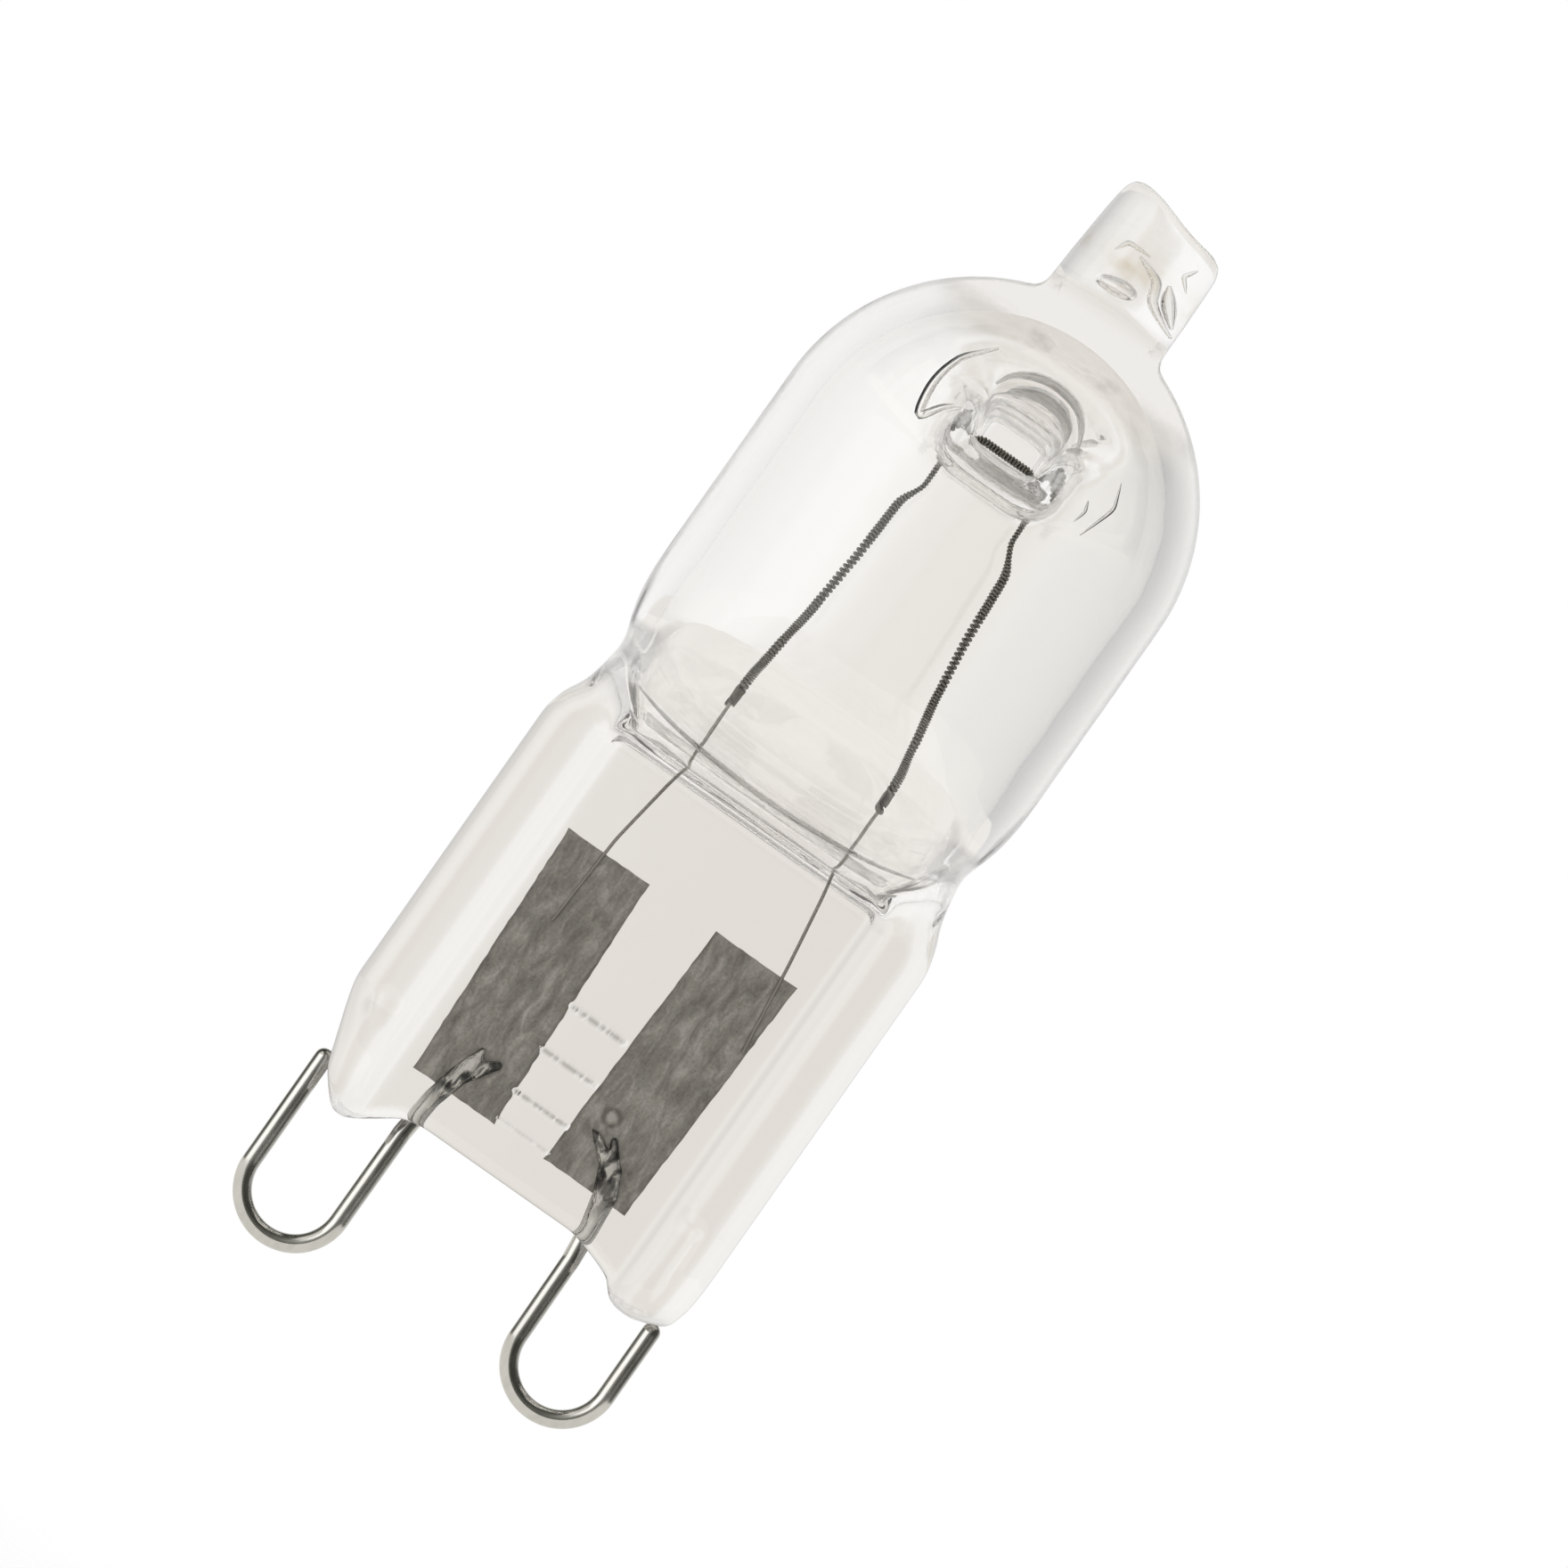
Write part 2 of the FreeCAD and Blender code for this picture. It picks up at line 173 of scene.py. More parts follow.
def object_mm(nt):
    """Object coordinates in millimetres: the vector and its x, y and z."""
    vec = stretched(nt, node(nt, "ShaderNodeTexCoord").outputs["Object"], (1000.0, 1000.0, 1000.0))
    return vec, *node(nt, "ShaderNodeSeparateXYZ", {0: vec}).outputs


def near(nt, value, middle, width):
    """1 where a value is at the middle, falling off smoothly over the width."""
    d = math_node(nt, "DIVIDE", math_node(nt, "SUBTRACT", value, middle), width)
    return math_node(nt, "EXPONENT", times(nt, d, d, -1.0))


def band(nt, value, start, end):
    """1 inside a band of a value, with a soft rise at its start and a soft fall at its end."""
    rise = ranged(nt, value, *start, kind="SMOOTHSTEP")
    fall = ranged(nt, value, *end, 1.0, 0.0, "SMOOTHSTEP")
    return times(nt, rise, fall)


# Smooth shapes as fields, negative inside, from which the glass and the pins are meshed.
def smax(a, b, k):
    """The larger of two fields, with a seam rounded over k."""
    h = np.clip(0.5 + 0.5 * (a - b) / k, 0, 1)
    return b + (a - b) * h + k * h * (1 - h)


def smin(a, b, k):
    """The smaller of two fields, with a seam rounded over k."""
    return -smax(-a, -b, k)


def ease(x, lo, hi):
    """0 up to lo and 1 from hi on, with a soft rise between."""
    t = np.clip((x - lo) / (hi - lo), 0, 1)
    return t * t * (3 - 2 * t)


def spread(axes):
    """Coordinates of a grid's nodes, as three arrays that combine."""
    return axes[0][:, None, None], axes[1][None, :, None], axes[2][None, None, :]


def curve(z, knots):
    """Smooth line through knots (z, value): monotone cubic pieces."""
    zs = np.array([k[0] for k in knots], float)
    vs = np.array([k[1] for k in knots], float)
    d = np.diff(vs) / np.diff(zs)
    m = np.zeros(len(vs))
    total = np.where(d[:-1] + d[1:] == 0, 1, d[:-1] + d[1:])
    m[1:-1] = np.where(d[:-1] * d[1:] > 0, 2 * d[:-1] * d[1:] / total, 0)
    m[0], m[-1] = d[0], d[-1]
    i = np.clip(np.searchsorted(zs, z) - 1, 0, len(d) - 1)
    w = zs[i + 1] - zs[i]
    t = np.clip((z - zs[i]) / w, 0, 1)
    low = (2 * t**3 - 3 * t**2 + 1) * vs[i] + (t**3 - 2 * t**2 + t) * w * m[i]
    return low + (3 * t**2 - 2 * t**3) * vs[i + 1] + (t**3 - t**2) * w * m[i + 1]


def soft_curve(z, knots, reach):
    """The curve averaged over a reach to both sides, without sudden changes of bend."""
    return sum(curve(z + d * reach, knots) for d in np.linspace(-1, 1, 9)) / 9


def polygon_field(a, b, corners):
    """Distance to a polygon in a plane, negative inside."""
    a, b = np.broadcast_arrays(a, b)
    best = np.full(a.shape, 1e9)
    inside = np.zeros(a.shape, bool)
    for i, (x0, y0) in enumerate(corners):
        x1, y1 = corners[(i + 1) % len(corners)]
        ex, ey = x1 - x0, y1 - y0
        t = np.clip(((a - x0) * ex + (b - y0) * ey) / (ex * ex + ey * ey), 0, 1)
        best = np.minimum(best, np.hypot(a - x0 - t * ex, b - y0 - t * ey))
        if y0 != y1:
            inside ^= ((y0 > b) != (y1 > b)) & (a < ex * (b - y0) / ey + x0)
    return np.where(inside, -best, best)


def blur(img, sigma):
    """Soft copy of a plane's field, which rounds its corners."""
    r = int(3 * sigma) + 1
    w = np.exp(-0.5 * (np.arange(-r, r + 1) / sigma) ** 2)
    w /= w.sum()
    for axis in (0, 1):
        src = np.pad(img, [(r, r) if i == axis else (0, 0) for i in (0, 1)], mode="edge")
        acc = np.zeros_like(img)
        for i, c in enumerate(w):
            acc += c * (src[i:i + img.shape[0]] if axis == 0 else src[:, i:i + img.shape[1]])
        img = acc
    return img


def evened(f, h):
    """The same surface with the field rising about one per millimetre beside it."""
    gx, gy, gz = np.gradient(f, h)
    return f / np.maximum(np.sqrt(gx * gx + gy * gy + gz * gz), 0.25)


def blown(X, Y, Z, wide, deep, square, radius, reach, h):
    """Tube whose half-width, half-depth and squareness follow knots along z, closed by a round dome."""
    a, b, n = soft_curve(Z, wide, reach), soft_curve(Z, deep, reach), soft_curve(Z, square, reach)
    ring = ((np.abs(X) / a) ** n + (np.abs(Y) / b) ** n) ** (1 / n)
    ball = np.sqrt(X * X + Y * Y + (Z - DOME_Z) ** 2) - radius
    return np.where(Z > DOME_Z, ball, evened((ring - 1) * np.minimum(a, b), h))


def tube_outside(X, Y, Z, h):
    wide = [(11.0, 6.1), (12.4, 5.98), (13.2, 5.74), (14.0, 5.72), (14.8, 5.95), (15.6, 6.2), (16.6, 6.33),
            (17.6, BULB_R), (34, BULB_R)]
    deep = [(11.0, 1.9), (12.3, 2.3), (13.9, 4.1), (15.4, 5.6), (17.0, 6.24), (18.4, BULB_R), (34, BULB_R)]
    square = [(11.0, 4.0), (13.0, 3.2), (15.0, 2.4), (17.0, 2.0), (34, 2.0)]
    tube = blown(X, Y, Z, wide, deep, square, BULB_R, 0.4, h)
    return smax(tube, PINCH_H + 0.4 - Z, 0.3)


def pinch_body(X, Y, Z, h):
    """The pressed seal: its outline in the front view, its two rails with the web, and the jaws' marks."""
    face = [(-HALF_W, 2.4), (-6.36, 1.7), (-6.05, 0.75), (-5.78, -0.1), (-5.4, -0.6), (-4.98, -1.06),
            (-4.55, -1.06), (-3.95, -0.68), (-3.2, -0.12), (-2.6, 0.0), (2.6, 0.0), (3.3, -0.2), (4.1, -0.48),
            (4.45, -0.98), (5.2, -1.06), (5.85, -0.85), (6.3, -0.65), (6.5, 0.1), (HALF_W, 0.9),
            (HALF_W, 11.6), (6.42, 12.15), (6.0, 12.9), (5.7, 13.9), (4.8, 14.9), (-4.8, 14.9), (-5.65, 13.9),
            (-5.95, 12.85), (-6.42, 12.25), (-HALF_W, 11.7)]
    plane = blur(polygon_field(X[:, :, 0], Z[0], face), 0.16 / h)[:, None, :]
    ax, ay = np.abs(X), np.abs(Y)
    depth = RAIL - 0.35 * ease(Z, 12.6, 14.6) - 0.25 * ease(-Z, -1.0, 1.2)
    body = smax(plane + 0 * Y, ay - depth, 0.7)
    side_wall = (ax - RAIL_IN - (ay - WEB) * 0.5) * 0.894
    top_wall = (Z - PINCH_H - 0.45 - (ay - WEB) * 0.45) * 0.912
    recess = smax(smax(side_wall, WEB - ay, 0.18), top_wall, 0.2)
    body = smax(body, -recess, 0.22)
    # A dimple in the front of the left rail, and a slot in the foot of the right one.
    dimple = np.sqrt((X + 5.45) ** 2 + (Y + RAIL + 0.55) ** 2 + (Z - 2.1) ** 2) - 0.7
    slot = smax(smax(np.abs(X - 5.15) - 0.36, Z - 2.1, 0.3), Y + RAIL - 0.28, 0.15)
    return smax(smax(body, -dimple, 0.15), -slot, 0.25)


def stub(X, Y, Z):
    """Squared end of the exhaust tube, leaning a little to the right."""
    half_w = curve(Z, [(28, 2.1), (29.6, 1.98), (31.0, 1.93), (32.4, 1.86), (33.6, 1.72)])
    half_d = curve(Z, [(28, 2.0), (29.6, 1.9), (31.0, 1.78), (33.6, 1.45)])
    middle = 0.04 + 0.03 * (Z - 29.4)
    ring = ((np.abs(X - middle) / half_w) ** 3.4 + (np.abs(Y) / half_d) ** 3.4) ** (1 / 3.4)
    crown = (Z - TOP + 0.14 + 0.22 * (X + 0.6) + 0.05 * np.sin(2.2 * X)) * 0.975
    body = smax((ring - 1) * 1.85, crown, 0.55)
    return smax(body, 28.6 - Z, 0.3)


def cavity(X, Y, Z, h):
    """The sealed space: tube, dome and the flat pocket over the pinch."""
    inner = BULB_R - WALL
    wide = [(12.6, 3.75), (12.9, 3.9), (13.3, 4.3), (13.9, 4.68), (15.2, 5.12), (16.4, 5.36), (17.6, inner),
            (34, inner)]
    deep = [(12.6, 0.34), (12.9, 0.42), (13.25, 0.72), (13.8, 1.5), (14.4, 2.5), (15.2, 3.7), (16.2, 4.85),
            (18.0, inner), (34, inner)]
    square = [(12.6, 2.6), (14.5, 2.5), (17.0, 2.0), (34, 2.0)]
    space = blown(X, Y, Z, wide, deep, square, inner, 0.1 + 0.4 * ease(Z, 13.3, 14.6), h)
    return smax(space, 12.92 + 0.018 * X * X - Z, 0.14)


def squircle(X, up, width, above, below, power):
    """Rounded box in the front view, with its own half-heights above and below the middle."""
    half = np.where(up > 0, above, below)
    ring = ((np.abs(X) / width) ** power + (np.abs(up) / half) ** power) ** (1 / power)
    return (ring - 1) * np.minimum(width, half)


def dents(X, Y, Z, h):
    """The glass pressed in from both sides: the dent, and its lining with the block that holds the coil."""
    ay = np.abs(Y)
    depth = np.clip((ay - CORE_T) / (BULB_R - CORE_T), 0, 1)
    # The flare grows towards the surface, upwards and to the sides, in faint steps. The underside stays flat.
    flare = depth ** 1.6 + 0.036 * np.sin(25 * depth)
    sideways = flare * ease(Z, CORE_Z + 0.4, CORE_Z + 1.5) * np.where(X < 0, 1.2, 1.0)
    power = 2.2 + 2.0 * np.exp(-3.0 * depth)
    power = np.where(Z < CORE_Z, np.maximum(power, 4.0), power)
    dent = squircle(X + 0.05, Z - CORE_Z - 0.3, 1.1 + sideways, 0.62 + 1.15 * flare, 0.62, power)
    dent = smax(evened(dent, h), CORE_T - ay, 0.15)
    lining = squircle(X, Z - CORE_Z, CORE_W + 0.95 * sideways, CORE_H + 1.3 * flare, CORE_H, power)
    block = smax(smax(np.abs(X) - CORE_W, np.abs(Z - CORE_Z) - CORE_H, 0.35), ay - CORE_T - 0.6, 0.3)
    return dent, smin(evened(lining, h), block, 0.25)


def void(dx, dy, dz, half):
    """Rounded hollow, from the distances to its middle and its half-sizes."""
    return np.sqrt((dx / half[0]) ** 2 + (dy / half[1]) ** 2 + (dz / half[2]) ** 2) - 1


def glass_field(h):
    """The glass, the sealed space in it, and the grid's places along x, y and z."""
    axes = tuple(np.arange(low, high + h, h) for low, high in GLASS_ROOM)
    X, Y, Z = spread(axes)
    outside = smin(tube_outside(X, Y, Z, h), pinch_body(X, Y, Z, h), 0.8)
    # The stub grows out of the dome with a tight corner at its sides and a long slope at the front and back.
    facing = Y * Y / (X * X + Y * Y + 0.01)
    outside = smin(outside, stub(X, Y, Z), 0.3 + 0.7 * facing)
    dent, lining = dents(X, Y, Z, h)
    rim = 0.22 + 0.9 * ease(Z, CORE_Z + 0.1, CORE_Z + 1.6)
    space = smax(cavity(X, Y, Z, h), -lining, rim)
    outside = smax(outside, -dent, rim)
    bx, by, bz = BUBBLE
    bubble = void(X - bx, Y - by, Z - bz - 0.12 * X, BUBBLE_HALF)
    # A flat gap is left in the block under the coil.
    gap = void(X - 0.17, Y, Z - CORE_Z + 0.65, GAP_HALF)
    voids = np.minimum(bubble * 0.3, gap * 0.22)
    return smax(outside, -np.minimum(space, voids), 0.02), space, axes


def bar(X, Y, Z, start, end):
    """Tapering bar with round ends between two points (x, z, half-width, half-thickness)."""
    x0, z0, w0, t0 = start
    x1, z1, w1, t1 = end
    ex, ez = x1 - x0, z1 - z0
    s = np.clip(((X - x0) * ex + (Z - z0) * ez) / (ex * ex + ez * ez), 0, 1)
    width = w0 + (w1 - w0) * s
    flat = width / (t0 + (t1 - t0) * s)
    return np.hypot(np.hypot(X - x0 - s * ex, Z - z0 - s * ez), (Y - PIN_Y) * flat) - width


def pin_field(name, side, free_end, stem, prongs, h):
    """Looped wire whose inner leg follows the stem up to a flattened, forked end."""
    low, high = box(name)
    axes = tuple(np.arange(low[i] - 0.3, high[i] + 0.3, h) for i in range(3))
    X, Y, Z = spread(axes)
    loop_z = low[2] + LOOP_R + PIN_R
    centre = side * PIN_PITCH / 2
    outer = centre + side * LOOP_R
    bend = np.abs(np.hypot(X - centre, Z - loop_z) - LOOP_R)
    leg = np.hypot(X - outer, np.maximum(Z - free_end + PIN_R, 0))
    field = np.hypot(np.where(Z < loop_z, bend, leg), Y - PIN_Y) - PIN_R
    inner = (centre - side * LOOP_R, loop_z, PIN_R, PIN_R)
    for start, end in zip([inner] + stem[:-1], stem):
        field = np.minimum(field, bar(X, Y, Z, start, end))
    for start, end in prongs:
        field = smin(field, bar(X, Y, Z, start, end), 0.1)
    return evened(field, h), axes


def sample(grid, axes, pts):
    """Value of a grid between its nodes."""
    h = axes[0][1] - axes[0][0]
    place = [(pts[:, i] - axes[i][0]) / h for i in range(3)]
    cell = [np.clip(np.floor(v).astype(int), 0, grid.shape[k] - 2) for k, v in enumerate(place)]
    part = [v - i for v, i in zip(place, cell)]
    total = 0
    for dx in (0, 1):
        for dy in (0, 1):
            for dz in (0, 1):
                share = 1
                for step, w in zip((dx, dy, dz), part):
                    share = share * (w if step else 1 - w)
                total = total + share * grid[cell[0] + dx, cell[1] + dy, cell[2] + dz]
    return total


def surface(field, axes, h):
    """Points, faces and normals of the surface where a field is zero."""
    reach = 3 * h
    grid = openvdb.FloatGrid(background=reach)
    grid.copyFromArray(np.clip(field, -reach, reach).astype(np.float32), tolerance=0.0)
    pts, quads = grid.convertToQuads(isovalue=0.0)
    pts = pts.astype(float) * h + np.array([a[0] for a in axes])
    slopes = np.gradient(field, h)
    for _ in range(3):
        f = sample(field, axes, pts)
        g = np.stack([sample(s, axes, pts) for s in slopes], 1)
        pts -= g * (f / np.maximum((g * g).sum(1), 0.05))[:, None] * 0.9
    g = np.stack([sample(s, axes, pts) for s in slopes], 1)
    normals = g / np.maximum(np.linalg.norm(g, axis=1), 1e-6)[:, None]
    a, b, c = (pts[quads[:, i]] for i in (0, 1, 2))
    outward = (np.cross(b - a, c - a) * normals[quads[:, 0]]).sum()
    if outward < 0:
        quads = quads[:, ::-1]
    return pts, quads.tolist(), normals


def new_mesh(name, pts, faces, normals=None):
    mesh = bpy.data.meshes.new(name)
    mesh.from_pydata((np.asarray(pts) * MM).tolist(), [], faces)
    mesh.update()
    mesh.shade_smooth()
    if normals is not None:
        mesh.normals_split_custom_set_from_vertices(normals.tolist())
    return mesh


def round_wire(line, radius, sides):
    """Points, faces and normals of a wire along points in millimetres. The radius may change along it."""
    line = np.asarray(line, float)
    count = len(line)
    radius = np.broadcast_to(np.asarray(radius, float), (count,))
    along = np.gradient(line, axis=0)
    along /= np.linalg.norm(along, axis=1)[:, None]
    up = np.array([0.0, 1.0, 0.0])
    ups = []
    for t in along:
        up = up - t * (up @ t)
        up /= np.linalg.norm(up)
        ups.append(up)
    ups = np.array(ups)
    side = np.cross(along, ups)
    turn = np.arange(sides) * 2 * math.pi / sides
    ring = ups[:, None, :] * np.cos(turn)[None, :, None] + side[:, None, :] * np.sin(turn)[None, :, None]
    pts = (line[:, None, :] + ring * radius[:, None, None]).reshape(-1, 3)
    i = np.arange(count - 1)[:, None] * sides
    j = np.arange(sides)[None, :]
    k = (j + 1) % sides
    faces = np.stack([i + j, i + k, i + sides + k, i + sides + j], -1).reshape(-1, 4).tolist()
    faces.append(list(range(sides))[::-1])
    faces.append([(count - 1) * sides + q for q in range(sides)])
    return pts, faces, ring.reshape(-1, 3)


FOLD_POINTS = 25
FOLD_SIDES = 12


def fold(corners, radius):
    """Fine air line in the glass: a wire shape turned inside out, thin at both ends."""
    s = np.linspace(0, 1, FOLD_POINTS)
    knots = np.linspace(0, 1, len(corners))
    line = np.stack([np.interp(s, knots, [c[i] for c in corners]) for i in range(3)], 1)
    for _ in range(3):
        line[1:-1] = (line[:-2] + 2 * line[1:-1] + line[2:]) / 4
    pts, faces, normals = round_wire(line, radius * (0.25 + 0.75 * np.sin(math.pi * s)), FOLD_SIDES)
    return pts, [f[::-1] for f in faces], -normals


def calmed(pts, normals, skin):
    """Normals with less slope to the sides on the rails' flanks, and on the outer skin before the block."""
    x, z = np.abs(pts[:, 0]), pts[:, 2]
    flank = (0.8 - 0.2 * ease(x, 4.6, 4.9)) * ease(x, 3.9, 4.2) * (1 - ease(x, 5.5, 5.8))
    flank = flank * (1 - ease(z, 12.6, 13.2))
    block = 0.85 * skin * (1 - ease(x, 1.0, 1.4)) * ease(z, 23.6, 23.8) * (1 - ease(z, 24.6, 24.9))
    soft = normals * np.stack([1 - np.maximum(flank, block), np.ones_like(z), np.ones_like(z)], 1)
    return soft / np.linalg.norm(soft, axis=1, keepdims=True)


# Fine lines in the glass: their points, their thickness, and how much painted shade darkens them.
STUB_FOLDS = (
    ([(-0.15, -0.5, 31.6), (0.62, -0.5, 31.3), (0.8, -0.45, 30.75), (1.45, -0.4, 30.25)], 0.17, 0.1),
    ([(0.95, -0.8, 31.4), (1.15, -0.75, 31.0), (1.5, -0.7, 30.45)], 0.2, 0.1),
    ([(-0.8, -0.6, 31.35), (-0.6, -0.6, 31.75), (0.1, -0.6, 31.75)], 0.08, 0.1),
    ([(1.3, -0.7, 32.2), (1.1, -0.7, 31.85), (1.35, -0.7, 31.5)], 0.07, 0.1),
)
# The block's edge, and the ring of the flat gap in it.
BLOCK_LINES = (
    ([(-1.35, -1.0, 25.7), (-1.45, -1.0, 24.9), (-1.42, -1.0, 24.2), (-1.1, -1.0, 23.93), (0.0, -1.0, 23.9),
      (1.2, -1.0, 23.93), (1.48, -1.0, 24.2), (1.5, -1.0, 24.9), (1.4, -1.0, 25.7)], 0.1, 0.6),
    ([(-0.9, -1.0, 24.2), (-0.5, -1.0, 24.4), (0.2, -1.0, 24.43), (0.9, -1.0, 24.38), (1.2, -1.0, 24.2),
      (0.9, -1.0, 24.02), (0.2, -1.0, 23.98), (-0.5, -1.0, 24.0), (-0.9, -1.0, 24.2)], 0.07, 0.7),
)
# Lines pressed into the neck over the pinch.
NECK_LINES = (
    ([(-4.6, -2.3, 13.75), (-2.2, -2.3, 13.45), (0.0, -2.3, 13.32), (2.2, -2.3, 13.45), (4.6, -2.3, 13.75)],
     0.16, 0.7),
    ([(-4.5, -1.2, 13.2), (-2.2, -1.2, 13.05), (0.0, -1.2, 12.95), (2.2, -1.2, 13.05), (4.5, -1.2, 13.2)],
     0.13, 0.8),
    ([(-4.1, -1.9, 12.6), (-3.3, -1.9, 12.95), (-2.3, -1.9, 12.8), (-3.0, -1.9, 12.55), (-3.8, -1.9, 12.7)],
     0.1, 0.6),
    ([(2.9, -1.9, 12.8), (3.7, -1.9, 12.95), (4.2, -1.9, 12.7), (3.6, -1.9, 12.6), (3.3, -1.9, 12.7)],
     0.07, 0.6),
)
# Creases (x, z) in the wall beside the dent: a hook on the left and two faint bows on the right.
WALL_CREASES = (
    ([(-1.8, 25.1), (-2.2, 24.8), (-2.6, 24.1), (-2.8, 25.2), (-2.6, 26.2), (-1.85, 27.0)], 0.15, 0.0),
    ([(2.95, 25.9), (3.2, 25.2), (2.85, 24.1)], 0.06, 0.0),
    ([(2.5, 25.0), (2.6, 24.7), (2.5, 24.3)], 0.05, 0.0),
)
# Bows (x, z) over the dent, where the glass in front is thickest.
DENT_BOWS = (
    ([(-1.5, 26.3), (-1.2, 26.75), (-0.6, 27.05), (0.1, 27.15), (0.9, 27.0), (1.4, 26.55), (1.65, 25.9)],
     0.11, 0.6),
    ([(-1.3, 26.15), (-0.9, 26.55), (-0.2, 26.76), (0.5, 26.74), (1.0, 26.55), (1.35, 26.1)], 0.2, 0.8),
)


def glass_mesh():
    """The glass and its fine lines. Attributes tell its outer skin and how much painted shade darkens each
    line.
    """
    field, space, axes = glass_field(GLASS_STEP)
    pts, faces, normals = surface(field, axes, GLASS_STEP)
    skin = ease(sample(space, axes, pts), 0.2, 0.4)
    normals = calmed(pts, normals, skin)
    folds = list(STUB_FOLDS + BLOCK_LINES + NECK_LINES)
    middle = BULB_R - WALL / 2
    for line, radius, painted_line_shade in WALL_CREASES:
        spots = [(x, -math.sqrt(middle ** 2 - x * x - (z - DOME_Z) ** 2), z) for x, z in line]
        folds.append((spots, radius, painted_line_shade))
    depths = np.linspace(-5.6, -3.2, 49)
    for line, radius, painted_line_shade in DENT_BOWS:
        spots = []
        for x, z in line:
            column = np.stack([np.full(depths.shape, x), depths, np.full(depths.shape, z)], 1)
            spots.append((x, depths[np.argmin(sample(field, axes, column))], z))
        folds.append((spots, radius, painted_line_shade))
    painted_line_shades = np.zeros(len(pts))
    for corners, radius, painted_line_shade in folds:
        more, rings, outward = fold(corners, radius)
        faces += [[i + len(pts) for i in f] for f in rings]
        pts = np.concatenate([pts, more])
        normals = np.concatenate([normals, outward])
        skin = np.concatenate([skin, np.zeros(len(more))])
        painted_line_shades = np.concatenate([painted_line_shades, np.full(len(more), painted_line_shade)])
    mesh = new_mesh("glass_body", pts, faces, normals)
    for name, values in (("outer_skin", skin), ("painted_line_shade", painted_line_shades)):
        mesh.attributes.new(name, "FLOAT", "POINT").data.foreach_set("value", values)
    return mesh


def foil_mesh(name, seed):
    """The CAD foil with slightly uneven edges, as cut from a strip."""
    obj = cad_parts[name]
    corners = np.array([list(v.co) for v in obj.data.vertices]) / MM
    z0, z1 = corners[:, 2].min(), corners[:, 2].max()
    low = corners[corners[:, 2] < (z0 + z1) / 2][:, 0]
    high = corners[corners[:, 2] > (z0 + z1) / 2][:, 0]
    frame_line = [(low.min(), z0), (low.max(), z0), (high.max(), z1), (high.min(), z1)]
    rng = np.random.default_rng(seed)
    middle = np.mean(frame_line, axis=0)
    outline = []
    for i, a in enumerate(frame_line):
        a, b = np.array(a), np.array(frame_line[(i + 1) % 4])
        steps = int(np.linalg.norm(b - a) / FOIL_EDGE_STEP)
        inward = np.array([-(b - a)[1], (b - a)[0]])
        inward /= np.linalg.norm(inward) * (1 if inward @ (middle - a) > 0 else -1)
        for j in range(steps):
            outline.append(a + (b - a) * j / steps + inward * rng.uniform(0, FOIL_NICK) * (j > 0))
    y0, y1 = corners[:, 1].min(), corners[:, 1].max()
    count = len(outline)
    pts = [(x, y, z) for y in (y0, y1) for x, z in outline]
    faces = [list(range(count)), list(range(count, 2 * count))[::-1]]
    faces += [[(i + 1) % count, i, count + i, count + (i + 1) % count] for i in range(count)]
    mesh = bpy.data.meshes.new(name + "_leaf")
    mesh.from_pydata((np.array(pts) * MM).tolist(), [], faces)
    mesh.update()
    return mesh


def rounded_line(corners, step):
    """Points along straight runs joined by arcs, from corners (x, z) or (x, z, radius)."""
    out = [np.array(corners[0][:2], float)]
    for i in range(1, len(corners) - 1):
        p = np.array(corners[i][:2], float)
        r = corners[i][2]
        u = np.array(corners[i - 1][:2]) - p
        v = np.array(corners[i + 1][:2]) - p
        u, v = u / np.linalg.norm(u), v / np.linalg.norm(v)
        half = math.acos(np.clip(u @ v, -1, 1)) / 2
        reach = r / math.tan(half)
        c = p + (u + v) / np.linalg.norm(u + v) * (r / math.sin(half))
        s, e = p + u * reach - c, p + v * reach - c
        turn = math.pi - 2 * half
        count = max(2, int(turn * r / step))
        sign = np.sign(s[0] * e[1] - s[1] * e[0])
        for j in range(count + 1):
            t = sign * turn * j / count
            spoke = (s[0] * math.cos(t) - s[1] * math.sin(t), s[0] * math.sin(t) + s[1] * math.cos(t))
            out.append(c + np.array(spoke))
    out.append(np.array(corners[-1][:2], float))
    pts = np.array(out)
    pts = pts[np.concatenate([[True], np.linalg.norm(np.diff(pts, axis=0), axis=1) > 1e-6])]
    s = np.concatenate([[0], np.cumsum(np.linalg.norm(np.diff(pts, axis=0), axis=1))])
    even = np.arange(0, s[-1], step)
    return np.stack([np.interp(even, s, pts[:, 0]), np.interp(even, s, pts[:, 1])], 1)


def along(a, b, z):
    """Point at height z on the line from a to b."""
    t = (z - a[1]) / (b[1] - a[1])
    return (a[0] + (b[0] - a[0]) * t, z)


def coil_corners():
    """The CAD wire's bends: from the left lead over the support to the right lead."""
    low = CORE_Z - CORE_H
    rise = low - COIL_FOOT
    l0 = (-FOIL_X + 0.02, PINCH_H + 0.4)
    l1 = (-FOIL_X + 0.1, COIL_FOOT + 0.8, 8)
    r0 = (FOIL_X + 0.4, PINCH_H + 0.3)
    r1 = (FOIL_X + 0.3, COIL_FOOT + 0.8, 8)
    left = [along(l0, l1, COIL_FOOT), l1, (-FOIL_X + 0.53, COIL_FOOT + rise * 0.6, 8),
            (-FOIL_X + 0.65, low - 1.55, 1), (-1.42, low - 0.85, 0.7), (-1.42, low + 0.25, 0.5),
            (-0.95, CORE_Z, 0.4)]
    right = [along(r0, r1, COIL_FOOT), r1, (FOIL_X - 0.33, COIL_FOOT + rise * 0.6, 8),
             (FOIL_X - 0.45, low - 1.6, 1), (1.5, low - 0.75, 0.7), (1.48, low + 0.25, 0.5),
             (0.95, CORE_Z, 0.4)]
    return left + right[::-1]


